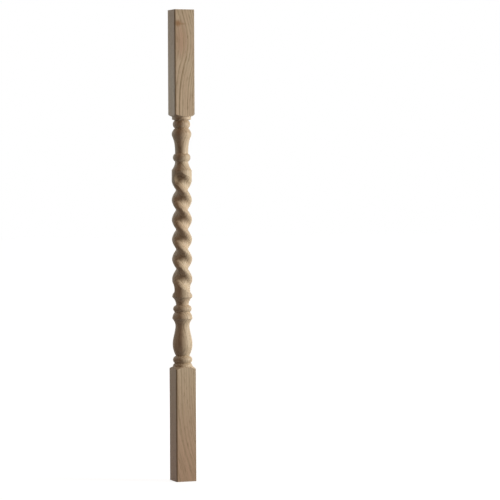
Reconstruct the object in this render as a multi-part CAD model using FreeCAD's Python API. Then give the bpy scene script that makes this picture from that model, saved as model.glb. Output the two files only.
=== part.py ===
import FreeCAD, Part
import math
import os

# Barley-twist stair baluster, made from one length of square oak.
# The stock is turned between two square blocks, and two left-hand grooves are
# then cut along a helix into the plain cylinder in the middle.
# The foot stands on the origin and the length runs up +Z. Sizes are in millimetres.

# Square stock, with its long edges eased
SECTION = 40.5
LENGTH = 900.0
ARRIS_RADIUS = 2.4

# Square blocks, measured along their corners
HEAD_BLOCK = 198.6
FOOT_BLOCK = 214.4

# Heights of the turned stretches above the twist, from the head down
HEAD_SHOULDER_HEIGHT = 4.8
HEAD_COLLAR_HEIGHT = 5.3
HEAD_QUIRK_HEIGHT = 1.7
HEAD_BEAD_HEIGHT = 14.6
VASE_SWELL_HEIGHT = 11.1
UPPER_VASE_HEIGHT = 37.3
UPPER_BEAD_HEIGHT = 15.4
UPPER_COVE_HEIGHT = 16.4

# Heights of the turned stretches below the twist, from the foot up
FOOT_SHOULDER_HEIGHT = 5.2
FOOT_COLLAR_HEIGHT = 6.1
FOOT_BEAD_HEIGHT = 13.8
BELLY_FOOT_HEIGHT = 22.5
BELLY_RISE_HEIGHT = 35.1
CAP_HOLLOW_HEIGHT = 14.0
CAP_HEIGHT = 12.6
LOWER_BEAD_HEIGHT = 13.1
LOWER_COVE_HEIGHT = 15.4

# Radii of the turned outline, from the head down
HEAD_COLLAR_RADIUS = 18.2
HEAD_QUIRK_RADIUS = 13.2
HEAD_BEAD_RADIUS = 16.7
VASE_LIP_RADIUS = 13.1
UPPER_VASE_RADIUS = 18.8
UPPER_NECK_RADIUS = 12.6
UPPER_BEAD_RADIUS = 16.8
UPPER_COVE_RADIUS = 12.7
BLANK_RADIUS = 19.2
LOWER_COVE_RADIUS = 12.2
LOWER_BEAD_RADIUS = 17.7
CAP_QUIRK_RADIUS = 14.5
CAP_RADIUS = 19.3
LOWER_NECK_RADIUS = 13.4
BELLY_RADIUS = 18.9
FOOT_QUIRK_RADIUS = 12.9
FOOT_BEAD_RADIUS = 18.5
FOOT_GROOVE_RADIUS = 15.1
FOOT_COLLAR_RADIUS = 18.7

# Fullness of the curved stretches: the share of its height that a curve keeps straight
VASE_SWELL_EASE = 0.37
VASE_CREST_EASE = 0.20
VASE_NECK_EASE = 0.80
UPPER_COVE_EASE = 0.46
LOWER_COVE_EASE = 0.60
CAP_EASE = 0.47
CAP_HOLLOW_EASE = 0.47
NECK_EASE = 0.30
BELLY_EASE = 0.36
BELLY_FOOT_EASE = 0.50
FOOT_COLLAR_EASE = 0.70

# Twist: its helix, and how far the grooves stop short of the blank's ends
TWIST_LEAD = 75.3
TWIST_STARTS = 2
TWIST_AZIMUTH = -125.0
HEAD_GROOVE_MARGIN = 16.0
FOOT_GROOVE_MARGIN = 14.8

# Cutter of the grooves: half of its profile is one double curve, from the nose out to the lip
GROOVE_DEPTH = 7.6
CUTTER_REACH = 16.5
CUTTER_HEIGHT = 5.5
CUTTER_NOSE_FLAT = 7.3
CUTTER_LIP_FLAT = 9.2
CUTTER_LIP_ANGLE = 2.0

# Bowl at a groove's ends: the share of the double curve that it keeps, from the nose out
BOWL_NOSE = 0.5

# How far the cutting tools reach past the wood
OVERCUT = 2.0

# Stations along the axis
head_corner = LENGTH - HEAD_BLOCK
head_shoulder = head_corner - HEAD_SHOULDER_HEIGHT
head_collar = head_shoulder - HEAD_COLLAR_HEIGHT
head_quirk = head_collar - HEAD_QUIRK_HEIGHT
vase_lip = head_quirk - HEAD_BEAD_HEIGHT
vase_crest = vase_lip - VASE_SWELL_HEIGHT
upper_neck = vase_crest - UPPER_VASE_HEIGHT
upper_cove = upper_neck - UPPER_BEAD_HEIGHT
blank_head = upper_cove - UPPER_COVE_HEIGHT
foot_corner = FOOT_BLOCK
foot_shoulder = foot_corner + FOOT_SHOULDER_HEIGHT
foot_groove = foot_shoulder + FOOT_COLLAR_HEIGHT
foot_quirk = foot_groove + FOOT_BEAD_HEIGHT
belly = foot_quirk + BELLY_FOOT_HEIGHT
lower_neck = belly + BELLY_RISE_HEIGHT
cap_arris = lower_neck + CAP_HOLLOW_HEIGHT
cap_quirk = cap_arris + CAP_HEIGHT
lower_cove = cap_quirk + LOWER_BEAD_HEIGHT
blank_foot = lower_cove + LOWER_COVE_HEIGHT

# Corner of the square stock, and how far out the turning and the cutter reach
corner_radius = SECTION / math.sqrt(2)
outer_radius = corner_radius + OVERCUT
rim_radius = BLANK_RADIUS + OVERCUT

# Helix of the twist
groove_head = blank_head - HEAD_GROOVE_MARGIN
groove_foot = blank_foot + FOOT_GROOVE_MARGIN
groove_rise = groove_head - groove_foot
rise_per_radian = TWIST_LEAD / (2 * math.pi)
groove_turn = math.degrees(groove_rise / rise_per_radian)

# The cutter's profile lies square to the groove at this radius
pitch_radius = BLANK_RADIUS - GROOVE_DEPTH / 3
helix_angle = math.atan2(rise_per_radian, pitch_radius)

AXIS = FreeCAD.Vector(0, 0, 1)
ORIGIN = FreeCAD.Vector(0, 0, 0)
RADIAL = FreeCAD.Vector(1, 0, 0)


def at(radius, height):
    """Point of the turned outline."""
    return FreeCAD.Vector(radius, 0, height)


def line(start, end):
    """Straight edge."""
    return Part.LineSegment(start, end).toShape()


def bezier(*poles):
    """Curved edge with the given poles."""
    curve = Part.BezierCurve()
    curve.setPoles(list(poles))
    return curve.toShape()


def bead(upper, crest_radius, lower):
    """Half-round moulding between two quirks: one circular edge, held as a spline."""
    crest = at(crest_radius, (upper.z + lower.z) / 2)
    return Part.Arc(upper, crest, lower).toBSpline().toShape()


def run_out(lip, crest, ease):
    """Curve that leaves a lip at a slant and runs out along the axis at its crest."""
    bend = at(crest.x, crest.z + ease * (lip.z - crest.z))
    return bezier(lip, bend, crest)


def ogee(upper, lower, upper_ease, lower_ease):
    """Double curve that lies along the axis at both of its ends."""
    height = upper.z - lower.z
    leaving = at(upper.x, upper.z - upper_ease * height)
    arriving = at(lower.x, lower.z + lower_ease * height)
    return bezier(upper, leaving, arriving, lower)


def outline_above_twist():
    """Edges of the turned outline from the head's shoulder down to the blank."""
    collar_top = at(HEAD_COLLAR_RADIUS, head_shoulder)
    collar_foot = at(HEAD_COLLAR_RADIUS, head_collar)
    quirk = at(HEAD_QUIRK_RADIUS, head_quirk)
    lip = at(VASE_LIP_RADIUS, vase_lip)
    crest = at(UPPER_VASE_RADIUS, vase_crest)
    neck = at(UPPER_NECK_RADIUS, upper_neck)
    cove = at(UPPER_COVE_RADIUS, upper_cove)
    arris = at(BLANK_RADIUS, blank_head)
    return [
        line(at(corner_radius, head_corner), collar_top),
        line(collar_top, collar_foot),
        line(collar_foot, quirk),
        bead(quirk, HEAD_BEAD_RADIUS, lip),
        run_out(lip, crest, VASE_SWELL_EASE),
        ogee(crest, neck, VASE_CREST_EASE, VASE_NECK_EASE),
        bead(neck, UPPER_BEAD_RADIUS, cove),
        run_out(arris, cove, UPPER_COVE_EASE),
    ]


def outline_below_twist():
    """Edges of the turned outline from the blank down to the foot's shoulder."""
    arris = at(BLANK_RADIUS, blank_foot)
    cove = at(LOWER_COVE_RADIUS, lower_cove)
    quirk = at(CAP_QUIRK_RADIUS, cap_quirk)
    cap = at(CAP_RADIUS, cap_arris)
    neck = at(LOWER_NECK_RADIUS, lower_neck)
    crest = at(BELLY_RADIUS, belly)
    belly_quirk = at(FOOT_QUIRK_RADIUS, foot_quirk)
    groove = at(FOOT_GROOVE_RADIUS, foot_groove)
    collar = at(FOOT_COLLAR_RADIUS, foot_shoulder)
    return [
        run_out(arris, cove, LOWER_COVE_EASE),
        bead(cove, LOWER_BEAD_RADIUS, quirk),
        run_out(quirk, cap, CAP_EASE),
        run_out(cap, neck, CAP_HOLLOW_EASE),
        ogee(neck, crest, NECK_EASE, BELLY_EASE),
        run_out(belly_quirk, crest, BELLY_FOOT_EASE),
        bead(belly_quirk, FOOT_BEAD_RADIUS, groove),
        run_out(groove, collar, FOOT_COLLAR_EASE),
        line(collar, at(corner_radius, foot_corner)),
    ]


def turned_envelope():
    """Solid that the lathe leaves; it clears the stock's corners along the square blocks."""
    top = LENGTH + OVERCUT
    bottom = -OVERCUT
    head_step = at(outer_radius, head_corner)
    foot_step = at(outer_radius, foot_corner)
    edges = [
        line(at(0, top), at(outer_radius, top)),
        line(at(outer_radius, top), head_step),
        line(head_step, at(corner_radius, head_corner)),
    ]
    edges += outline_above_twist()
    edges.append(line(at(BLANK_RADIUS, blank_head), at(BLANK_RADIUS, blank_foot)))
    edges += outline_below_twist()
    edges += [
        line(at(corner_radius, foot_corner), foot_step),
        line(foot_step, at(outer_radius, bottom)),
        line(at(outer_radius, bottom), at(0, bottom)),
        line(at(0, bottom), at(0, top)),
    ]
    wire = Part.Wire(Part.__sortEdges__(edges))
    return Part.Face(wire).revolve(ORIGIN, AXIS, 360)


def square_stock():
    """Length of square stock with its four long edges eased."""
    half = SECTION / 2
    stock = Part.makeBox(SECTION, SECTION, LENGTH, FreeCAD.Vector(-half, -half, 0))
    long_edges = [edge for edge in stock.Edges if abs(edge.tangentAt(edge.FirstParameter).z) > 0.5]
    return stock.makeFillet(ARRIS_RADIUS, long_edges)


def across_groove(side, across, outward):
    """Point in the plane square to the groove, at the start of the helix."""
    sideways = side * across * math.sin(helix_angle)
    upwards = side * across * math.cos(helix_angle)
    return FreeCAD.Vector(outward, sideways, upwards)


def cutter_curve(side):
    """Double curve of one side of the cutter, from its nose to its lip."""
    lip_tilt = math.radians(CUTTER_LIP_ANGLE)
    floor = BLANK_RADIUS - GROOVE_DEPTH
    lip = floor + CUTTER_HEIGHT
    inside_lip = CUTTER_REACH - CUTTER_LIP_FLAT * math.cos(lip_tilt)
    above_lip = lip + CUTTER_LIP_FLAT * math.sin(lip_tilt)
    curve = Part.BezierCurve()
    curve.setPoles([
        across_groove(side, 0, floor),
        across_groove(side, CUTTER_NOSE_FLAT, floor),
        across_groove(side, inside_lip, above_lip),
        across_groove(side, CUTTER_REACH, lip),
    ])
    return curve


def cutter_side(side):
    """Edges of one side of the cutter, from its nose to the rim outside the wood."""
    curve = cutter_curve(side)
    return [curve.toShape(), line(curve.EndPoint, across_groove(side, CUTTER_REACH, rim_radius))]


def groove_sweep():
    """Screw sweep of the whole cutter profile from the groove's foot end to its head end."""
    lower = cutter_side(-1)
    upper = cutter_side(1)
    rim = line(lower[-1].lastVertex().Point, upper[-1].lastVertex().Point)
    profile = Part.Wire(Part.__sortEdges__(lower + upper + [rim]))
    helix = Part.makeHelix(TWIST_LEAD, groove_rise, pitch_radius, 0, True)
    pipe = Part.BRepOffsetAPI.MakePipeShell(Part.Wire(helix.Edges))
    pipe.setBiNormalMode(AXIS)
    pipe.add(profile, False, False)
    pipe.build()
    pipe.makeSolid()
    return pipe.shape()


def groove_bowl(turn_axis):
    """Half bowl where the cutter is drawn out of the wood: its nose, and a straight flank above."""
    curve = cutter_curve(1)
    nose = curve.StartPoint
    bend = curve.value(BOWL_NOSE)
    flank = curve.tangent(BOWL_NOSE)[0]
    rim = bend + flank * ((rim_radius - bend.x) / flank.x)
    pole = across_groove(1, 0, rim_radius)
    curve.segment(0, BOWL_NOSE)
    edges = [curve.toShape(), line(bend, rim), line(rim, pole), line(pole, nose)]
    return Part.Face(Part.Wire(edges)).revolve(ORIGIN, turn_axis, 180)


def groove_tool():
    """One groove: the sweep with a bowl at each end, at the helix's own start."""
    foot_bowl = groove_bowl(-RADIAL)
    head_bowl = groove_bowl(RADIAL)
    head_bowl.rotate(ORIGIN, AXIS, -groove_turn)
    head_bowl.translate(AXIS * groove_rise)
    return groove_sweep().fuse([foot_bowl, head_bowl])


def baluster():
    """The finished baluster."""
    body = square_stock().common(turned_envelope())
    for start in range(TWIST_STARTS):
        groove = groove_tool()
        groove.translate(AXIS * groove_foot)
        groove.rotate(ORIGIN, AXIS, TWIST_AZIMUTH + groove_turn + start * 360 / TWIST_STARTS)
        body = body.cut(groove)
    return body.Solids[0]


os.makedirs("parts", exist_ok=True)
piece = baluster()
piece.exportStep("parts/baluster.step")
print("baluster:", "valid" if piece.isValid() else "not valid", round(piece.Volume), "cubic millimetres")
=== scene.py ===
"""Looks of a barley-twist stair baluster in bare oak.

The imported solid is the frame. A finer copy of its form is turned, cut and dressed here,
and it stands in a plain studio. Lengths are in metres; sizes of the turning are written
in millimetres and multiplied by MM.
"""

import logging
import math
from dataclasses import dataclass
from enum import Enum
from itertools import pairwise

import bpy
from mathutils import Matrix, Vector
from mathutils.geometry import interpolate_bezier


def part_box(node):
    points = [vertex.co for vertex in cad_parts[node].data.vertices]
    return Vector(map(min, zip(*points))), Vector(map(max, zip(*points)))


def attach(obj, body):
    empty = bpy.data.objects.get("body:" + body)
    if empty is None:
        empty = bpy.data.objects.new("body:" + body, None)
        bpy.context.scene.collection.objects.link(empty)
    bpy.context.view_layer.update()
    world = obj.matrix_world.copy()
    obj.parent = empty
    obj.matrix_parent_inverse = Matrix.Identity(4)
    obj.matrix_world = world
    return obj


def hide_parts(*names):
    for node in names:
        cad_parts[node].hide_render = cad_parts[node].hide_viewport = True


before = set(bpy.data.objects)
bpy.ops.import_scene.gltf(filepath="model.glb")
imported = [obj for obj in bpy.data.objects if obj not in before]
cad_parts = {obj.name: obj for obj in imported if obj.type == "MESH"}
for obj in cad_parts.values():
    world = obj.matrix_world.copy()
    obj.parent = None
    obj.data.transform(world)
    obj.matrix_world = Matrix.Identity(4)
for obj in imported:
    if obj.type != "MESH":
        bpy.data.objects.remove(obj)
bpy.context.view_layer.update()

MM = 0.001
NODE = "baluster"
BODY = "root"

# Distance within which the vertices of a cutting tool merge
TOOL_MERGE = 0.002 * MM

# Share of a bend's two arms at which a cubic curve's poles lie to follow it
BEND_POLE = 2 / 3

# Middle of the range of a noise
NOISE_MIDDLE = 0.5

log = logging.getLogger("baluster")


class Cut(Enum):
    """What a boolean does with the tool."""

    KEEP_COMMON = "INTERSECT"
    TAKE_AWAY = "DIFFERENCE"


class Bench:
    """Hand tools for meshes: each wraps a few operators."""

    @staticmethod
    def clear() -> None:
        """Deselects everything in object mode."""
        bpy.ops.object.select_all(action="DESELECT")

    @staticmethod
    def pick(*pieces: bpy.types.Object) -> None:
        """Selects pieces and makes the first one active.

        Args:
            pieces: The pieces to select, and no others.
        """
        Bench.clear()
        for piece in pieces:
            piece.select_set(True)
        bpy.context.view_layer.objects.active = pieces[0]

    @staticmethod
    def draw(name: str, points: list[Vector]) -> bpy.types.Object:
        """Draws a chain of edges from a plane that is shrunk to a point and extruded on.

        Args:
            name: Name of the new object.
            points: Places of the chain's vertices, in order.

        Returns:
            The new object, in object mode.
        """
        Bench.clear()
        bpy.ops.mesh.primitive_plane_add(size=MM)
        piece = bpy.context.object
        piece.name = name
        bpy.ops.object.mode_set(mode="EDIT")
        bpy.ops.mesh.select_all(action="SELECT")
        bpy.ops.mesh.merge(type="CENTER")
        bpy.ops.transform.translate(value=points[0])
        for here, there in pairwise(points):
            bpy.ops.mesh.extrude_region_move(TRANSFORM_OT_translate={"value": there - here})
        bpy.ops.object.mode_set(mode="OBJECT")
        return piece

    @staticmethod
    def spin(piece: bpy.types.Object, axis: Vector, angle: float, steps: int) -> None:
        """Spins the whole of a chain about an axis through the origin.

        Args:
            piece: The chain to spin.
            axis: Direction of the axis.
            angle: Angle of the spin in radians.
            steps: Number of steps that it takes.
        """
        Bench.pick(piece)
        bpy.ops.object.mode_set(mode="EDIT")
        bpy.ops.mesh.select_all(action="SELECT")
        bpy.ops.mesh.spin(steps=steps, angle=angle, center=(0, 0, 0), axis=axis)
        bpy.ops.object.mode_set(mode="OBJECT")

    @staticmethod
    def close(piece: bpy.types.Object, reach: float) -> None:
        """Merges doubled vertices and turns the faces outwards.

        Args:
            piece: The mesh to close.
            reach: Distance within which vertices merge.
        """
        Bench.pick(piece)
        bpy.ops.object.mode_set(mode="EDIT")
        bpy.ops.mesh.select_all(action="SELECT")
        bpy.ops.mesh.remove_doubles(threshold=reach)
        bpy.ops.mesh.dissolve_degenerate(threshold=reach)
        bpy.ops.mesh.normals_make_consistent(inside=False)
        bpy.ops.object.mode_set(mode="OBJECT")

    @staticmethod
    def place(piece: bpy.types.Object, turn: float, lift: float) -> None:
        """Turns a piece about the upright axis, lifts it, and puts both into its mesh.

        Args:
            piece: The piece to place.
            turn: Turn about +Z in radians.
            lift: Lift along +Z.
        """
        Bench.pick(piece)
        piece.rotation_euler.z = turn
        piece.location.z = lift
        bpy.ops.object.transform_apply(location=True, rotation=True, scale=True)

    @staticmethod
    def cap(piece: bpy.types.Object) -> None:
        """Fills the open loops of a mesh with flat faces.

        Args:
            piece: The mesh to cap.
        """
        Bench.pick(piece)
        bpy.ops.object.mode_set(mode="EDIT")
        bpy.ops.mesh.select_all(action="SELECT")
        bpy.ops.mesh.fill_holes(sides=0)
        bpy.ops.object.mode_set(mode="OBJECT")

    @staticmethod
    def join(*pieces: bpy.types.Object) -> bpy.types.Object:
        """Joins pieces into one.

        Args:
            pieces: The pieces to join.

        Returns:
            The first piece, with the others in it.
        """
        Bench.pick(*pieces)
        bpy.ops.object.join()
        return pieces[0]

    @staticmethod
    def cut(piece: bpy.types.Object, tool: bpy.types.Object, kind: Cut) -> None:
        """Cuts a piece with a tool, and clears the tool away.

        Args:
            piece: The piece that is cut.
            tool: The closed mesh that cuts it.
            kind: Whether the common part stays or is taken away.
        """
        Bench.pick(piece)
        bpy.ops.object.modifier_add(type="BOOLEAN")
        modifier = piece.modifiers[-1]
        modifier.operation = kind.value
        modifier.solver = "EXACT"
        modifier.object = tool
        bpy.ops.object.modifier_apply(modifier=modifier.name)
        Bench.pick(tool)
        bpy.ops.object.delete()


def curve(start: Vector, leaving: Vector, arriving: Vector, end: Vector, steps: int) -> list[Vector]:
    """Points along one cubic curve.

    Args:
        start: First end of the curve.
        leaving: Pole after the first end.
        arriving: Pole before the last end.
        end: Last end of the curve.
        steps: Number of stretches that it is divided into.

    Returns:
        The points, with both ends.
    """
    return [Vector(point) for point in interpolate_bezier(start, leaving, arriving, end, steps + 1)]


@dataclass
class Stock:
    """Square length of oak with its long edges eased."""

    section: float
    length: float
    arris_radius: float = 2.4 * MM
    arris_steps: int = 8

    @property
    def corner_radius(self) -> float:
        """Radius of the sharp corner about the long axis."""
        return self.section / math.sqrt(2)

    def build(self) -> bpy.types.Object:
        """Makes the stock from a cube.

        Returns:
            The closed mesh, standing on the origin.
        """
        Bench.clear()
        bpy.ops.mesh.primitive_cube_add(size=1)
        piece = bpy.context.object
        piece.name = "oak_baluster"
        piece.scale = (self.section, self.section, self.length)
        piece.location.z = self.length / 2
        bpy.ops.object.transform_apply(location=True, rotation=True, scale=True)
        self.ease(piece)
        return piece

    def ease(self, piece: bpy.types.Object) -> None:
        """Rounds the upright edges of the stock.

        Args:
            piece: The stock.
        """
        Bench.pick(piece)
        vertices = piece.data.vertices
        bpy.ops.object.mode_set(mode="EDIT")
        bpy.ops.mesh.select_mode(type="EDGE")
        bpy.ops.mesh.select_all(action="DESELECT")
        bpy.ops.object.mode_set(mode="OBJECT")
        for edge in piece.data.edges:
            first, last = (vertices[index].co for index in edge.vertices)
            edge.select = abs(first.z - last.z) > MM
        bpy.ops.object.mode_set(mode="EDIT")
        bpy.ops.mesh.bevel(offset=self.arris_radius, segments=self.arris_steps, affect="EDGES")
        bpy.ops.mesh.select_mode(type="VERT")
        bpy.ops.object.mode_set(mode="OBJECT")


@dataclass
class Turning:
    """Turned outline between the two square blocks, from the head down to the foot."""

    corner_radius: float
    length: float

    # Square blocks, measured along their corners
    head_block: float = 198.6 * MM
    foot_block: float = 214.4 * MM

    # Heights above the twist, from the head down
    head_shoulder_height: float = 4.8 * MM
    head_collar_height: float = 5.3 * MM
    head_quirk_height: float = 1.7 * MM
    head_bead_height: float = 14.6 * MM
    vase_swell_height: float = 11.1 * MM
    upper_vase_height: float = 37.3 * MM
    upper_bead_height: float = 15.4 * MM
    upper_cove_height: float = 16.4 * MM

    # Heights below the twist, from the foot up
    foot_shoulder_height: float = 5.2 * MM
    foot_collar_height: float = 6.1 * MM
    foot_bead_height: float = 13.8 * MM
    belly_foot_height: float = 22.5 * MM
    belly_rise_height: float = 35.1 * MM
    cap_hollow_height: float = 14.0 * MM
    cap_height: float = 12.6 * MM
    lower_bead_height: float = 13.1 * MM
    lower_cove_height: float = 15.4 * MM

    # Radii, from the head down
    head_collar_radius: float = 18.2 * MM
    head_quirk_radius: float = 13.2 * MM
    head_bead_radius: float = 16.7 * MM
    vase_lip_radius: float = 13.1 * MM
    upper_vase_radius: float = 18.8 * MM
    upper_neck_radius: float = 12.6 * MM
    upper_bead_radius: float = 16.8 * MM
    upper_cove_radius: float = 12.7 * MM
    blank_radius: float = 19.2 * MM
    lower_cove_radius: float = 12.2 * MM
    lower_bead_radius: float = 17.7 * MM
    cap_quirk_radius: float = 14.5 * MM
    cap_radius: float = 19.3 * MM
    lower_neck_radius: float = 13.4 * MM
    belly_radius: float = 18.9 * MM
    foot_quirk_radius: float = 12.9 * MM
    foot_bead_radius: float = 18.5 * MM
    foot_groove_radius: float = 15.1 * MM
    foot_collar_radius: float = 18.7 * MM

    # Fullness of the curved stretches
    vase_swell_ease: float = 0.37
    vase_crest_ease: float = 0.20
    vase_neck_ease: float = 0.80
    upper_cove_ease: float = 0.46
    lower_cove_ease: float = 0.60
    cap_ease: float = 0.47
    cap_hollow_ease: float = 0.47
    neck_ease: float = 0.30
    belly_ease: float = 0.36
    belly_foot_ease: float = 0.50
    foot_collar_ease: float = 0.70

    # Fineness of the mesh, and how far the envelope reaches past the stock
    curve_steps: int = 18
    round_steps: int = 144
    overcut: float = 2.0 * MM

    def __post_init__(self) -> None:
        """Adds the heights up to stations along the axis."""
        self.head_corner = self.length - self.head_block
        self.head_shoulder = self.head_corner - self.head_shoulder_height
        self.head_collar = self.head_shoulder - self.head_collar_height
        self.head_quirk = self.head_collar - self.head_quirk_height
        self.vase_lip = self.head_quirk - self.head_bead_height
        self.vase_crest = self.vase_lip - self.vase_swell_height
        self.upper_neck = self.vase_crest - self.upper_vase_height
        self.upper_cove = self.upper_neck - self.upper_bead_height
        self.blank_head = self.upper_cove - self.upper_cove_height
        self.foot_corner = self.foot_block
        self.foot_shoulder = self.foot_corner + self.foot_shoulder_height
        self.foot_groove = self.foot_shoulder + self.foot_collar_height
        self.foot_quirk = self.foot_groove + self.foot_bead_height
        self.belly = self.foot_quirk + self.belly_foot_height
        self.lower_neck = self.belly + self.belly_rise_height
        self.cap_arris = self.lower_neck + self.cap_hollow_height
        self.cap_quirk = self.cap_arris + self.cap_height
        self.lower_cove = self.cap_quirk + self.lower_bead_height
        self.blank_foot = self.lower_cove + self.lower_cove_height
        self.outer_radius = self.corner_radius + self.overcut

    @staticmethod
    def at(radius: float, height: float) -> Vector:
        """Returns a point of the outline."""
        return Vector((radius, 0, height))

    def bead(self, upper: Vector, crest_radius: float, lower: Vector) -> list[Vector]:
        """Half-round moulding between two quirks: one arc through three points.

        Args:
            upper: Upper quirk.
            crest_radius: Radius of the turning at the bead's middle.
            lower: Lower quirk.

        Returns:
            Points along the arc.
        """
        crest = self.at(crest_radius, (upper.z + lower.z) / 2)
        to_crest = crest - upper
        to_lower = lower - upper
        twice_area = 2 * (to_crest.x * to_lower.z - to_crest.z * to_lower.x)
        across = to_lower.z * to_crest.length_squared - to_crest.z * to_lower.length_squared
        along = to_crest.x * to_lower.length_squared - to_lower.x * to_crest.length_squared
        centre = upper + Vector((across, 0, along)) / twice_area
        first = math.atan2(upper.z - centre.z, upper.x - centre.x)
        last = math.atan2(lower.z - centre.z, lower.x - centre.x)
        radius = (upper - centre).length
        angles = [
            first + (last - first) * step / self.curve_steps
            for step in range(self.curve_steps + 1)
        ]
        return [centre + radius * Vector((math.cos(angle), 0, math.sin(angle))) for angle in angles]

    def run_out(self, lip: Vector, crest: Vector, ease: float) -> list[Vector]:
        """Curve that leaves a lip at a slant and runs out along the axis at its crest.

        Args:
            lip: End of the curve at the quirk or arris.
            crest: End of the curve where it lies along the axis.
            ease: Share of the height that the curve keeps straight at the crest.

        Returns:
            Points from the lip to the crest.
        """
        bend = self.at(crest.x, crest.z + ease * (lip.z - crest.z))
        leaving = lip.lerp(bend, BEND_POLE)
        arriving = crest.lerp(bend, BEND_POLE)
        return curve(lip, leaving, arriving, crest, self.curve_steps)

    def ogee(self, upper: Vector, lower: Vector, upper_ease: float, lower_ease: float) -> list[Vector]:
        """Double curve that lies along the axis at both of its ends.

        Args:
            upper: Upper end.
            lower: Lower end.
            upper_ease: Share of the height that the curve keeps straight at the upper end.
            lower_ease: The same at the lower end.

        Returns:
            Points from the upper end to the lower one.
        """
        height = upper.z - lower.z
        leaving = self.at(upper.x, upper.z - upper_ease * height)
        arriving = self.at(lower.x, lower.z + lower_ease * height)
        return curve(upper, leaving, arriving, lower, self.curve_steps)

    def above_twist(self) -> list[list[Vector]]:
        """Outline above the twist.

        Returns:
            Its stretches, from the head's shoulder down to the blank.
        """
        collar_top = self.at(self.head_collar_radius, self.head_shoulder)
        collar_foot = self.at(self.head_collar_radius, self.head_collar)
        quirk = self.at(self.head_quirk_radius, self.head_quirk)
        lip = self.at(self.vase_lip_radius, self.vase_lip)
        crest = self.at(self.upper_vase_radius, self.vase_crest)
        neck = self.at(self.upper_neck_radius, self.upper_neck)
        cove = self.at(self.upper_cove_radius, self.upper_cove)
        arris = self.at(self.blank_radius, self.blank_head)
        return [
            [self.at(self.corner_radius, self.head_corner), collar_top],
            [collar_top, collar_foot],
            [collar_foot, quirk],
            self.bead(quirk, self.head_bead_radius, lip),
            self.run_out(lip, crest, self.vase_swell_ease),
            self.ogee(crest, neck, self.vase_crest_ease, self.vase_neck_ease),
            self.bead(neck, self.upper_bead_radius, cove),
            self.run_out(arris, cove, self.upper_cove_ease)[::-1],
        ]

    def below_twist(self) -> list[list[Vector]]:
        """Outline below the twist.

        Returns:
            Its stretches, from the blank down to the foot's shoulder.
        """
        arris = self.at(self.blank_radius, self.blank_foot)
        cove = self.at(self.lower_cove_radius, self.lower_cove)
        quirk = self.at(self.cap_quirk_radius, self.cap_quirk)
        cap = self.at(self.cap_radius, self.cap_arris)
        neck = self.at(self.lower_neck_radius, self.lower_neck)
        crest = self.at(self.belly_radius, self.belly)
        belly_quirk = self.at(self.foot_quirk_radius, self.foot_quirk)
        groove = self.at(self.foot_groove_radius, self.foot_groove)
        collar = self.at(self.foot_collar_radius, self.foot_shoulder)
        return [
            self.run_out(arris, cove, self.lower_cove_ease),
            self.bead(cove, self.lower_bead_radius, quirk),
            self.run_out(quirk, cap, self.cap_ease),
            self.run_out(cap, neck, self.cap_hollow_ease),
            self.ogee(neck, crest, self.neck_ease, self.belly_ease),
            self.run_out(belly_quirk, crest, self.belly_foot_ease)[::-1],
            self.bead(belly_quirk, self.foot_bead_radius, groove),
            self.run_out(groove, collar, self.foot_collar_ease),
            [collar, self.at(self.corner_radius, self.foot_corner)],
        ]

    def outline(self) -> list[Vector]:
        """Whole outline of the turning.

        Returns:
            Its points, from the axis at the head to the axis at the foot.
        """
        top = self.length + self.overcut
        bottom = -self.overcut
        points = [
            self.at(0, top),
            self.at(self.outer_radius, top),
            self.at(self.outer_radius, self.head_corner),
        ]
        for stretch in self.above_twist() + self.below_twist():
            same = (stretch[0] - points[-1]).length < TOOL_MERGE
            points += stretch[1:] if same else stretch
        points += [
            self.at(self.outer_radius, self.foot_corner),
            self.at(self.outer_radius, bottom),
            self.at(0, bottom),
        ]
        return points

    def build(self) -> bpy.types.Object:
        """Spins the outline round the axis.

        Returns:
            The closed envelope, which clears the stock's corners along the blocks.
        """
        piece = Bench.draw("turned_envelope", self.outline())
        Bench.spin(piece, Vector((0, 0, 1)), 2 * math.pi, self.round_steps)
        Bench.close(piece, TOOL_MERGE)
        return piece


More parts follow.
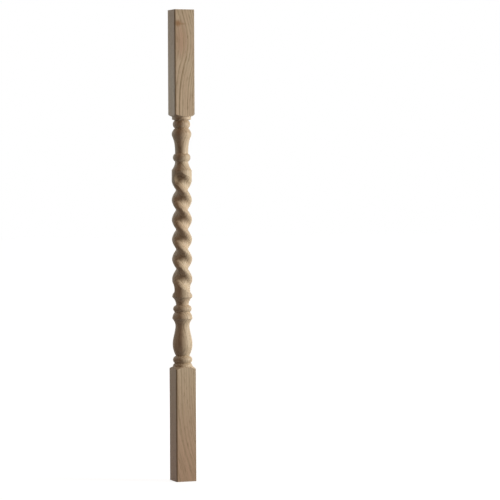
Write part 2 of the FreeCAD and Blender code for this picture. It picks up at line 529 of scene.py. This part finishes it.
@dataclass
class Twist:
    """Left-hand grooves that are cut along a helix into the turned blank."""

    turning: Turning
    lead: float = 75.3 * MM
    starts: int = 2
    azimuth: float = math.radians(-125.0)
    head_margin: float = 16.0 * MM
    foot_margin: float = 14.8 * MM

    # Cutter: half of its profile is one double curve from the nose out to the lip
    depth: float = 7.6 * MM
    reach: float = 16.5 * MM
    height: float = 5.5 * MM
    nose_flat: float = 7.3 * MM
    lip_flat: float = 9.2 * MM
    lip_angle: float = math.radians(2.0)

    # Bowl at a groove's ends: the share of the double curve that it keeps, from the nose out
    bowl_nose: float = 0.5

    # Lips at a groove's ends: how much of them is sanded away there, and over how many steps
    lip_fade: float = 0.9
    lip_fade_steps: int = 12

    # Fineness of the mesh
    profile_steps: int = 26
    steps_per_turn: int = 110
    bowl_steps: int = 48

    def __post_init__(self) -> None:
        """Works the helix out from the blank and the margins, with its slope a third of the way in."""
        self.foot = self.turning.blank_foot + self.foot_margin
        self.rise = self.turning.blank_head - self.head_margin - self.foot
        self.turn = 2 * math.pi * self.rise / self.lead
        pitch_radius = self.turning.blank_radius - self.depth / 3
        self.helix_angle = math.atan2(self.lead / (2 * math.pi), pitch_radius)
        self.rim = self.turning.blank_radius + self.turning.overcut

    def across(self, offset: float, outward: float) -> Vector:
        """Point in the plane square to the groove, at the helix's start.

        Args:
            offset: Distance from the groove's middle.
            outward: Distance from the axis.

        Returns:
            The point.
        """
        sideways = offset * math.sin(self.helix_angle)
        upwards = offset * math.cos(self.helix_angle)
        return Vector((outward, sideways, upwards))

    def cutter_curve(self, side: int) -> list[Vector]:
        """Points of one side of the cutter's double curve.

        Args:
            side: 1 for the upper side, -1 for the lower one.

        Returns:
            The points from the nose out to the lip.
        """
        floor = self.turning.blank_radius - self.depth
        lip = floor + self.height
        inside_lip = self.reach - self.lip_flat * math.cos(self.lip_angle)
        above_lip = lip + self.lip_flat * math.sin(self.lip_angle)
        return curve(
            self.across(0, floor),
            self.across(side * self.nose_flat, floor),
            self.across(side * inside_lip, above_lip),
            self.across(side * self.reach, lip),
            self.profile_steps,
        )

    def bowl_side(self, side: int) -> list[Vector]:
        """Points of one side of the bowl: the cutter's nose, a straight flank and its end at the rim.

        Args:
            side: 1 for the upper side, -1 for the lower one.

        Returns:
            The points from the nose out to the rim.
        """
        points = self.cutter_curve(side)
        bend = round(self.profile_steps * self.bowl_nose)
        flank = points[bend + 1] - points[bend - 1]
        rim = points[bend] + flank * ((self.rim - points[bend].x) / flank.x)
        return points[:bend + 1] + [rim]

    def half_profile(self, side: int) -> list[Vector]:
        """Points of one side of the sweep, from its nose to the pole above it.

        Args:
            side: 1 for the upper side, -1 for the lower one.

        Returns:
            The points, with the nose first and the pole last.
        """
        bowl_rim = self.bowl_side(side)[-1]
        lip_rim = bowl_rim + self.across(side * self.turning.overcut, 0)
        return self.cutter_curve(side) + [lip_rim, bowl_rim, self.across(0, self.rim)]

    def sweep(self) -> bpy.types.Object:
        """Screws the whole profile up the helix.

        Returns:
            The open-ended tube.
        """
        upper = self.half_profile(1)
        lower = self.half_profile(-1)
        # The two halves share the pole, and the lower one runs back to the nose
        piece = Bench.draw("groove_sweep", upper + lower[-2::-1])
        Bench.close(piece, TOOL_MERGE)
        bpy.ops.object.modifier_add(type="SCREW")
        modifier = piece.modifiers[-1]
        modifier.angle = -self.turn
        modifier.screw_offset = self.rise
        modifier.steps = round(self.steps_per_turn * self.turn / (2 * math.pi))
        modifier.render_steps = modifier.steps
        ring = len(piece.data.vertices)
        bpy.ops.object.modifier_apply(modifier=modifier.name)
        self.fade_lips(piece, ring)
        return piece

    def fade_lips(self, piece: bpy.types.Object, ring: int) -> None:
        """Lets the lips of the sweep run out into the bowls at both of its ends, by a smooth step.

        Args:
            piece: The sweep.
            ring: Number of vertices in each of its steps.
        """
        bend, rim = self.bowl_side(1)[-2:]
        steepness = (rim.x - bend.x) / (rim.z - bend.z)
        highest = self.rim - self.turning.overcut / 2
        last = len(piece.data.vertices) // ring - 1
        for index, vertex in enumerate(piece.data.vertices):
            step = index // ring
            nearness = max(0, 1 - min(step, last - step) / self.lip_fade_steps)
            share = self.lip_fade * nearness ** 2 * (3 - 2 * nearness)
            turn = Matrix.Rotation(-self.turn * step / last, 3, "Z")
            lift = Vector((0, 0, self.rise * step / last))
            place = turn.inverted() @ (vertex.co - lift)
            flank = min(highest, bend.x + steepness * (abs(place.z) - bend.z))
            if abs(place.z) > bend.z and flank > place.x:
                place.x += share * (flank - place.x)
                vertex.co = turn @ place + lift

    def bowl(self, angle: float) -> bpy.types.Object:
        """Half bowl that the cutter leaves at a groove's end.

        Args:
            angle: Half a turn about the radial axis, either way.

        Returns:
            The open half bowl at the helix's start.
        """
        piece = Bench.draw("groove_bowl", self.bowl_side(1) + [self.across(0, self.rim)])
        Bench.spin(piece, Vector((1, 0, 0)), angle, self.bowl_steps)
        return piece

    def build(self, start: int) -> bpy.types.Object:
        """Makes one groove's cutting tool.

        Args:
            start: Number of the groove, from 0.

        Returns:
            The closed tool, in place.
        """
        head_bowl = self.bowl(-math.pi)
        Bench.place(head_bowl, -self.turn, self.rise)
        tool = Bench.join(self.sweep(), self.bowl(math.pi), head_bowl)
        Bench.close(tool, TOOL_MERGE)
        Bench.cap(tool)
        Bench.close(tool, TOOL_MERGE)
        turn = self.azimuth + self.turn + start * 2 * math.pi / self.starts
        Bench.place(tool, turn, self.foot)
        return tool


Socket = bpy.types.NodeSocket
Outputs = bpy.types.bpy_prop_collection
Feed = float | tuple | Socket


class NodeSheet:
    """Node tree of one material or world, with short calls for the nodes that it needs."""

    def __init__(self, tree: bpy.types.NodeTree) -> None:
        """Starts the tree empty."""
        self.tree = tree
        self.tree.nodes.clear()

    def add(self, kind: str, inputs: dict[str | int, Feed], **settings: object) -> Outputs:
        """Adds a node.

        Args:
            kind: Type of the node.
            inputs: A number, a colour or another node's output for inputs, by their names or numbers.
            settings: Properties to set on the node first.

        Returns:
            The node's outputs.
        """
        node = self.tree.nodes.new(kind)
        for name, value in settings.items():
            setattr(node, name, value)
        for name, value in inputs.items():
            if isinstance(value, Socket):
                self.tree.links.new(value, node.inputs[name])
            else:
                node.inputs[name].default_value = value
        return node.outputs

    def place(self) -> Socket:
        """Returns the coordinates of a point in the piece's own frame."""
        return self.add("ShaderNodeTexCoord", {})["Object"]

    def split(self, place: Feed) -> Outputs:
        """Returns the X, Y and Z of a point."""
        return self.add("ShaderNodeSeparateXYZ", {0: place})

    def length(self, place: Feed) -> Socket:
        """Returns the distance of a point from the origin."""
        return self.add("ShaderNodeVectorMath", {0: place}, operation="LENGTH")["Value"]

    def math(self, operation: str, first: Feed, second: Feed = 0.0, third: Feed = 0.0) -> Socket:
        """Returns the result of a sum with one, two or three numbers."""
        return self.add("ShaderNodeMath", {0: first, 1: second, 2: third}, operation=operation)[0]

    def span(self, value: Feed, low: float, high: float, to_low: float, to_high: float) -> Socket:
        """Returns a smooth step from to_low to to_high, as the value goes from low to high."""
        numbers = dict(enumerate((value, low, high, to_low, to_high)))
        return self.add("ShaderNodeMapRange", numbers, interpolation_type="SMOOTHSTEP")[0]

    def noise(self, place: Feed, waves: tuple, detail: float) -> Socket:
        """Returns noise with these waves to the metre along X, Y and Z, and so many finer layers."""
        place = self.add("ShaderNodeMapping", {"Vector": place, "Scale": waves})[0]
        return self.add("ShaderNodeTexNoise", {"Vector": place, "Scale": 1.0, "Detail": detail})["Fac"]

    def mix(self, share: Feed, first: Feed, second: Feed) -> Socket:
        """Returns the first colour with a share of the second one."""
        inputs = {"Factor": share, "A": first, "B": second}
        return self.add("ShaderNodeMix", inputs, data_type="RGBA")["Result"]


@dataclass(frozen=True)
class Swell:
    """Number that swells at one height, and fades above and below it."""

    size: float
    middle: float
    reach: float

    def build(self, sheet: NodeSheet, height: Feed) -> Socket:
        """Adds the number.

        Args:
            sheet: The node tree.
            height: Height of the point.

        Returns:
            The number at that height.
        """
        away = sheet.math("DIVIDE", sheet.math("SUBTRACT", height, self.middle), self.reach)
        square = sheet.math("MULTIPLY", away, away)
        fade = sheet.math("EXPONENT", sheet.math("MULTIPLY", square, -1.0))
        return sheet.math("MULTIPLY", fade, self.size)


@dataclass(frozen=True)
class Spot:
    """Soft oval spot in the wood, with half sizes along X, Y and Z."""

    middle: tuple
    size: tuple
    depth: float
    core: float = 0.15

    def build(self, sheet: NodeSheet, place: Feed) -> Socket:
        """Adds the spot.

        Args:
            sheet: The node tree.
            place: Coordinates of the point.

        Returns:
            The spot's depth in its core, fading to 0 at its edge.
        """
        scale = tuple(1 / half for half in self.size)
        shift = tuple(-at / half for at, half in zip(self.middle, self.size))
        inputs = {"Vector": place, "Location": shift, "Scale": scale}
        away = sheet.length(sheet.add("ShaderNodeMapping", inputs)[0])
        return sheet.span(away, self.core, 1.0, self.depth, 0.0)


@dataclass(frozen=True)
class Layer:
    """Layer of noise in the wood, of which the part above a span shows."""

    waves: tuple
    detail: float
    low: float
    high: float
    depth: float = 1.0

    def build(self, sheet: NodeSheet, place: Feed) -> Socket:
        """Adds the layer.

        Args:
            sheet: The node tree.
            place: Coordinates that the noise reads.

        Returns:
            0 below the span, and the layer's depth above it.
        """
        noise = sheet.noise(place, self.waves, self.detail)
        return sheet.span(noise, self.low, self.high, 0.0, self.depth)


@dataclass(frozen=True)
class OakFinish:
    """Bare, sanded oak: growth rings about a pith that lies in front of the piece."""

    # Colours, linear
    latewood: tuple = (0.590, 0.495, 0.364, 1.0)
    earlywood: tuple = (0.368, 0.278, 0.175, 1.0)
    # Colour of the pores, also used for the painted shade in the bowl and on the long edges
    pore_and_painted_shade: tuple = (0.198, 0.139, 0.074, 1.0)
    ray: tuple = (0.442, 0.345, 0.228, 1.0)
    blush: tuple = (0.495, 0.346, 0.244, 1.0)
    heart: tuple = (0.310, 0.172, 0.078, 1.0)

    # Growth rings about the pith, and where the trunk bends sideways
    ring_width: float = 3.6 * MM
    ring_offset: float = 1.2 * MM
    pith_side: float = -32.0 * MM
    pith_front: float = -52.0 * MM
    head_bend: Swell = Swell(size=18.6 * MM, middle=838.0 * MM, reach=60.0 * MM)
    foot_bend: Swell = Swell(size=37.0 * MM, middle=-40.0 * MM, reach=110.0 * MM)

    # Wander of the rings: its reach either way, its waves to the metre and its finer layers
    wander: float = 1.4 * MM
    wander_waves: tuple = (34.0, 34.0, 6.0)
    wander_detail: float = 2.0

    # Dark start of a ring: where it is full, begins to fade and ends, as shares of the ring
    early_full: float = 0.10
    early_fade: float = 0.12
    early_end: float = 0.62

    # How dark the ring of a pale year is, how much darker other years are, and how much of it shows
    early_least: float = 0.25
    early_change: float = 0.60
    early_depth: float = 0.95

    # Mineral streak, which follows one ring for a part of its length where the ring is dark enough
    streak_ring: float = 10.0
    streak_width: float = 0.5
    streak: Swell = Swell(size=0.85, middle=735.0 * MM, reach=75.0 * MM)
    streak_start: float = 0.85

    # Layers of noise: redder patches, rays, pores and longer dashes of pores
    patches: Layer = Layer(waves=(26.0, 26.0, 7.0), detail=3.0, low=0.38, high=0.68, depth=0.45)
    rays: Layer = Layer(waves=(1900.0, 90.0, 75.0), detail=1.0, low=0.62, high=0.72, depth=0.45)
    pores: Layer = Layer(waves=(1500.0, 1500.0, 42.0), detail=1.0, low=0.56, high=0.70)
    dashes: Layer = Layer(waves=(430.0, 430.0, 75.0), detail=2.0, low=0.55, high=0.68)

    # How much of the pores and dashes shows in pale wood, and what the dark of a ring adds to it
    pores_least: float = 0.16
    pores_in_ring: float = 0.75
    dashes_least: float = 0.22
    dashes_in_ring: float = 0.50

    # Fibres: waves to the metre, finer layers, the span of the noise, and how much their tone changes
    fibre_waves: tuple = (700.0, 700.0, 9.0)
    fibre_detail: float = 3.0
    fibre_low: float = 0.25
    fibre_high: float = 0.75
    fibre_tone: float = 0.10

    # Redder wood towards the foot and round the knot
    foot_blush: float = 1.0
    foot_blush_height: float = 300.0 * MM
    head_blush: Spot = Spot(
        middle=(-7.0 * MM, -20.0 * MM, 842.0 * MM),
        size=(24.0 * MM, 60.0 * MM, 62.0 * MM),
        depth=1.0,
    )

    # Painted light over the height of the twist, which lifts the shade in its grooves
    twist_painted_light: Swell = Swell(size=0.08, middle=465.0 * MM, reach=125.0 * MM)

    # Painted shade on the long edges of the blocks, darker as the sum of |x| and |y| goes from start
    # to full
    arris_start: float = 37.3 * MM
    arris_full: float = 38.3 * MM
    arris_shade_depth: float = 0.55

    # Pin knot near the head with a tail beside it, and a red fleck on the first bead
    knot: Spot = Spot(
        middle=(-13.5 * MM, -20.0 * MM, 873.5 * MM),
        size=(9.5 * MM, 22.0 * MM, 9.5 * MM),
        depth=0.92,
    )
    tail: Spot = Spot(
        middle=(-5.0 * MM, -20.0 * MM, 872.5 * MM),
        size=(12.0 * MM, 22.0 * MM, 3.0 * MM),
        depth=0.45,
    )
    fleck: Spot = Spot(
        middle=(-6.5 * MM, -15.3 * MM, 682.5 * MM),
        size=(2.0 * MM, 6.0 * MM, 2.6 * MM),
        depth=0.72,
    )

    # Painted shade: a darker patch round the bowl at the head end of the groove in front, standing in
    # for the shade in its hollow
    bowl: Spot = Spot(
        middle=(-14.5 * MM, -10.0 * MM, 577.0 * MM),
        size=(14.0 * MM, 15.0 * MM, 23.0 * MM),
        depth=0.60,
    )

    # Surface: its roughness and how that changes with the fibres, its gloss, and its relief
    roughness: float = 0.55
    roughness_change: float = 0.16
    gloss: float = 0.375
    relief_strength: float = 0.35
    relief_height: float = 0.25 * MM
    pore_relief: float = -0.7
    fibre_relief: float = 0.3

    def trunk_place(self, sheet: NodeSheet, place: Feed, height: Feed) -> Socket:
        """Place of a point in the trunk, with its bends taken out.

        Args:
            sheet: The node tree.
            place: Coordinates of the point.
            height: Height of the point.

        Returns:
            The coordinates in a straight trunk.
        """
        head = self.head_bend.build(sheet, height)
        foot = self.foot_bend.build(sheet, height)
        sideways = sheet.add("ShaderNodeCombineXYZ", {"X": sheet.math("ADD", head, foot)})[0]
        straight = sheet.add("ShaderNodeVectorMath", {0: place, 1: sideways}, operation="SUBTRACT")
        return straight["Vector"]

    def ring_count(self, sheet: NodeSheet, trunk: Feed) -> Socket:
        """Number of rings between the pith and a point, with the wander of the rings.

        Args:
            sheet: The node tree.
            trunk: Coordinates in the straight trunk.

        Returns:
            The number, with its fraction.
        """
        axes = sheet.split(trunk)
        across = sheet.math("SUBTRACT", axes["X"], self.pith_side)
        behind = sheet.math("SUBTRACT", axes["Y"], self.pith_front)
        square = sheet.math("MULTIPLY_ADD", behind, behind, sheet.math("MULTIPLY", across, across))
        noise = sheet.noise(trunk, self.wander_waves, self.wander_detail)
        wander = sheet.math("SUBTRACT", noise, NOISE_MIDDLE)
        distance = sheet.math("MULTIPLY_ADD", wander, 2 * self.wander, sheet.math("SQRT", square))
        inside = sheet.math("SUBTRACT", distance, self.ring_offset)
        return sheet.math("DIVIDE", inside, self.ring_width)

    def early_wood(self, sheet: NodeSheet, trunk: Feed, height: Feed) -> Socket:
        """Dark start of each year's ring, stronger in some years than in others.

        Args:
            sheet: The node tree.
            trunk: Coordinates in the straight trunk.
            height: Height of the point.

        Returns:
            0 in pale wood, up to 1 in the dark of a ring, and more than 1 in the mineral streak.
        """
        count = self.ring_count(sheet, trunk)
        ring = sheet.math("FRACT", count)
        rise = sheet.span(ring, 0.0, self.early_full, 0.0, 1.0)
        fade = sheet.span(ring, self.early_fade, self.early_end, 1.0, 0.0)
        whole = sheet.math("FLOOR", count)
        year = sheet.add("ShaderNodeTexWhiteNoise", {"W": whole}, noise_dimensions="1D")["Value"]
        strength = sheet.math("MULTIPLY_ADD", year, self.early_change, self.early_least)
        in_ring = sheet.math("COMPARE", whole, self.streak_ring, self.streak_width)
        streak = self.streak.build(sheet, height)
        strength = sheet.math("MULTIPLY_ADD", in_ring, streak, strength)
        return sheet.math("MULTIPLY", sheet.math("MULTIPLY", rise, fade), strength)

    def ground(self, sheet: NodeSheet, place: Feed, height: Feed) -> Socket:
        """Pale wood with its redder parts.

        Args:
            sheet: The node tree.
            place: Coordinates of the point.
            height: Height of the point.

        Returns:
            The colour.
        """
        patches = self.patches.build(sheet, place)
        foot = sheet.span(height, 0.0, self.foot_blush_height, self.foot_blush, 0.0)
        ends = sheet.math("MAXIMUM", foot, self.head_blush.build(sheet, place))
        return sheet.mix(sheet.math("MAXIMUM", patches, ends), self.latewood, self.blush)

    def grain(self, sheet: NodeSheet, wood: Feed, trunk: Feed, height: Feed) -> tuple[Socket, Socket]:
        """Adds the rings, rays and pores to the pale wood.

        Args:
            sheet: The node tree.
            wood: Colour of the pale wood.
            trunk: Coordinates in the straight trunk.
            height: Height of the point.

        Returns:
            The colour, and how open the grain is.
        """
        early = self.early_wood(sheet, trunk, height)
        wood = sheet.mix(sheet.math("MULTIPLY", early, self.early_depth), wood, self.earlywood)
        wood = sheet.mix(sheet.math("SUBTRACT", early, self.streak_start), wood, self.pore_and_painted_shade)
        wood = sheet.mix(self.rays.build(sheet, trunk), wood, self.ray)
        share = sheet.math("MULTIPLY_ADD", early, self.pores_in_ring, self.pores_least)
        open_grain = sheet.math("MULTIPLY", self.pores.build(sheet, trunk), share)
        wood = sheet.mix(open_grain, wood, self.pore_and_painted_shade)
        share = sheet.math("MULTIPLY_ADD", early, self.dashes_in_ring, self.dashes_least)
        dashes = sheet.math("MULTIPLY", self.dashes.build(sheet, trunk), share)
        return sheet.mix(dashes, wood, self.pore_and_painted_shade), open_grain

    def marks_and_painted_shade(self, sheet: NodeSheet, wood: Feed, place: Feed) -> Socket:
        """Adds the knot with its tail, the fleck, the painted shade in the bowl and the painted shade
        on the long edges.

        Args:
            sheet: The node tree.
            wood: Colour of the wood.
            place: Coordinates of the point.

        Returns:
            The colour.
        """
        for spot in (self.knot, self.tail, self.fleck):
            wood = sheet.mix(spot.build(sheet, place), wood, self.heart)
        # painted shade in the bowl at the head end of the groove in front
        wood = sheet.mix(self.bowl.build(sheet, place), wood, self.pore_and_painted_shade)
        # painted shade along the long edges of the blocks
        axes = sheet.split(place)
        sides = [sheet.math("ABSOLUTE", axes[name]) for name in "XY"]
        outward = sheet.math("ADD", *sides)
        arris_painted_shade = sheet.span(outward, self.arris_start, self.arris_full, 0.0, self.arris_shade_depth)
        return sheet.mix(arris_painted_shade, wood, self.pore_and_painted_shade)

    def material(self) -> bpy.types.Material:
        """Builds the oak.

        Returns:
            The material.
        """
        material = bpy.data.materials.new("bare_oak")
        material.use_nodes = True
        sheet = NodeSheet(material.node_tree)
        place = sheet.place()
        height = sheet.split(place)["Z"]
        trunk = self.trunk_place(sheet, place, height)
        fibre = sheet.noise(trunk, self.fibre_waves, self.fibre_detail)
        wood, open_grain = self.grain(sheet, self.ground(sheet, place, height), trunk, height)
        darkest = 1 - self.fibre_tone
        palest = 1 + self.fibre_tone
        tone_and_painted_light = sheet.span(fibre, self.fibre_low, self.fibre_high, darkest, palest)
        # painted light over the height of the twist
        tone_and_painted_light = sheet.math("ADD", tone_and_painted_light, self.twist_painted_light.build(sheet, height))
        marked_and_shaded_wood = self.marks_and_painted_shade(sheet, wood, place)
        ridges = sheet.math("MULTIPLY", fibre, self.fibre_relief)
        relief = {
            "Strength": self.relief_strength,
            "Distance": self.relief_height,
            "Height": sheet.math("MULTIPLY_ADD", open_grain, self.pore_relief, ridges),
        }
        smoothest = self.roughness - self.roughness_change / 2
        surface = {
            "Base Color": sheet.add("ShaderNodeHueSaturation", {"Value": tone_and_painted_light, "Color": marked_and_shaded_wood})[0],
            "Roughness": sheet.math("MULTIPLY_ADD", fibre, self.roughness_change, smoothest),
            "Specular IOR Level": self.gloss,
            "Normal": sheet.add("ShaderNodeBump", relief)[0],
        }
        shader = sheet.add("ShaderNodeBsdfPrincipled", surface)[0]
        sheet.add("ShaderNodeOutputMaterial", {"Surface": shader})
        return material


@dataclass
class Baluster:
    """The whole baluster: square stock, turned, then twisted."""

    stock: Stock
    turning: Turning
    twist: Twist
    finish: OakFinish
    smooth_angle: float = math.radians(28.0)
    merge_reach: float = 0.004 * MM

    def build(self) -> bpy.types.Object:
        """Turns and cuts the stock.

        Returns:
            The finished mesh.
        """
        piece = self.stock.build()
        Bench.cut(piece, self.turning.build(), Cut.KEEP_COMMON)
        for start in range(self.twist.starts):
            Bench.cut(piece, self.twist.build(start), Cut.TAKE_AWAY)
        Bench.close(piece, self.merge_reach)
        bpy.ops.object.shade_smooth_by_angle(angle=self.smooth_angle)
        bpy.ops.object.modifier_add(type="WEIGHTED_NORMAL")
        modifier = piece.modifiers[-1]
        modifier.keep_sharp = True
        bpy.ops.object.modifier_apply(modifier=modifier.name)
        return piece

    def dress(self, piece: bpy.types.Object) -> None:
        """Gives the finished mesh its oak."""
        piece.data.materials.append(self.finish.material())


def stand(azimuth: float, distance: float, height: float) -> Vector:
    """Returns a place round the baluster, with azimuth 0 in front of it and growing to the right."""
    return Vector((math.sin(azimuth) * distance, -math.cos(azimuth) * distance, height))


@dataclass(frozen=True)
class Lamp:
    """Soft box that looks at the middle of the baluster; its azimuth is counted from the camera."""

    name: str
    azimuth: float
    distance: float
    height: float
    width: float
    tall: float
    watts: float
    colour: tuple

    def build(self, camera_azimuth: float, target: Vector) -> None:
        """Hangs the lamp and turns it towards the target.

        Args:
            camera_azimuth: Azimuth of the camera.
            target: Point that it looks at.
        """
        data = bpy.data.lights.new(self.name, "AREA")
        data.shape = "RECTANGLE"
        data.size = self.width
        data.size_y = self.tall
        data.energy = self.watts
        data.color = self.colour
        lamp = bpy.data.objects.new(self.name, data)
        bpy.context.scene.collection.objects.link(lamp)
        lamp.location = stand(camera_azimuth + self.azimuth, self.distance, self.height)
        lamp.rotation_euler = (target - lamp.location).to_track_quat("-Z", "Y").to_euler()


@dataclass
class Studio:
    """White floor and surround, soft lights, and the camera."""

    # Camera, at the photograph's viewpoint, and how far it sees
    azimuth: float = math.radians(-19.6)
    distance: float = 4.8
    eye: float = 0.607
    heading: float = math.radians(-21.15)
    pitch: float = math.radians(1.973)
    roll: float = math.radians(-0.231)
    lens: float = 180.8
    sight: float = 100.0

    # Lamps: one at the right, one at the left and one behind
    key: Lamp = Lamp(
        name="key",
        azimuth=math.radians(80),
        distance=1.6,
        height=0.65,
        width=0.5,
        tall=0.9,
        watts=29.9,
        colour=(1.0, 0.98, 0.90),
    )
    fill: Lamp = Lamp(
        name="fill",
        azimuth=math.radians(-110),
        distance=0.6,
        height=0.75,
        width=0.3,
        tall=0.3,
        watts=0.85,
        colour=(0.78, 0.96, 1.0),
    )
    behind: Lamp = Lamp(
        name="behind",
        azimuth=math.radians(180),
        distance=1.6,
        height=1.4,
        width=0.5,
        tall=0.9,
        watts=16.0,
        colour=(1.0, 0.97, 0.93),
    )

    # Surround
    white: tuple = (1.0, 1.0, 1.0, 1.0)
    ambient: tuple = (1.0, 0.42, 0.08, 1.0)
    ambient_strength: float = 0.14

    # Floor, which glows a little less near the baluster, between these distances
    floor_size: float = 30.0
    floor_drop: float = 0.1 * MM
    floor_paint: tuple = (0.23, 0.235, 0.25, 1.0)
    glow_near: float = 0.1
    glow_far: float = 1.6
    glow_least: float = 0.90

    def camera(self) -> None:
        """Sets the camera at the photograph's viewpoint."""
        data = bpy.data.cameras.new("camera")
        data.lens = self.lens
        data.clip_end = self.sight
        camera = bpy.data.objects.new("camera", data)
        bpy.context.scene.collection.objects.link(camera)
        camera.location = stand(self.azimuth, self.distance, self.eye)
        turn = Matrix.Rotation(self.heading, 3, "Z")
        tilt = Matrix.Rotation(math.pi / 2 - self.pitch, 3, "X")
        lean = Matrix.Rotation(self.roll, 3, "Z")
        camera.rotation_euler = (turn @ tilt @ lean).to_euler()
        bpy.context.scene.camera = camera

    @staticmethod
    def seen(sheet: NodeSheet) -> Socket:
        """Tells the rays that show the surround: from the camera, a gloss or a glass.

        Args:
            sheet: The node tree.

        Returns:
            1 for such a ray, and 0 for others.
        """
        rays = sheet.add("ShaderNodeLightPath", {})
        gloss = sheet.math("MAXIMUM", rays["Is Glossy Ray"], rays["Is Transmission Ray"])
        return sheet.math("MAXIMUM", rays["Is Camera Ray"], gloss)

    def surround(self) -> None:
        """Makes the surround white to look at and dim as a light."""
        world = bpy.data.worlds.new("surround")
        world.use_nodes = True
        bpy.context.scene.world = world
        sheet = NodeSheet(world.node_tree)
        light = {"Color": self.ambient, "Strength": self.ambient_strength}
        dim = sheet.add("ShaderNodeBackground", light)[0]
        white = sheet.add("ShaderNodeBackground", {"Color": self.white})[0]
        choice = sheet.add("ShaderNodeMixShader", {0: self.seen(sheet), 1: dim, 2: white})[0]
        sheet.add("ShaderNodeOutputWorld", {"Surface": choice})

    def floor(self) -> None:
        """Lays the pale floor, which keeps a soft shadow."""
        Bench.clear()
        bpy.ops.mesh.primitive_plane_add(size=self.floor_size, location=(0, 0, -self.floor_drop))
        floor = bpy.context.object
        floor.name = "floor"
        material = bpy.data.materials.new("pale_floor")
        material.use_nodes = True
        sheet = NodeSheet(material.node_tree)
        paint = sheet.add("ShaderNodeBsdfDiffuse", {"Color": self.floor_paint})[0]
        away = sheet.length(sheet.place())
        level = sheet.span(away, self.glow_near, self.glow_far, self.glow_least, 1.0)
        strength = sheet.math("MULTIPLY", self.seen(sheet), level)
        glow = sheet.add("ShaderNodeEmission", {"Strength": strength})[0]
        both = sheet.add("ShaderNodeAddShader", {0: paint, 1: glow})[0]
        sheet.add("ShaderNodeOutputMaterial", {"Surface": both})
        floor.data.materials.append(material)

    def build(self, target: Vector) -> None:
        """Sets up the whole studio.

        Args:
            target: Point that the lamps look at.
        """
        self.camera()
        self.surround()
        self.floor()
        for lamp in (self.key, self.fill, self.behind):
            lamp.build(self.azimuth, target)


def main() -> None:
    """Builds the baluster and its studio, in order."""
    logging.basicConfig(level=logging.INFO)
    bpy.context.scene.view_settings.view_transform = "Standard"
    lowest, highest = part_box(NODE)
    Studio().build((lowest + highest) / 2)
    stock = Stock(highest.x - lowest.x, highest.z - lowest.z)
    turning = Turning(stock.corner_radius, stock.length)
    baluster = Baluster(stock, turning, Twist(turning), OakFinish())
    piece = baluster.build()
    baluster.dress(piece)
    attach(piece, BODY)
    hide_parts(NODE)
    log.info("%s: %d faces", piece.name, len(piece.data.polygons))


if __name__ == "__main__":
    main()
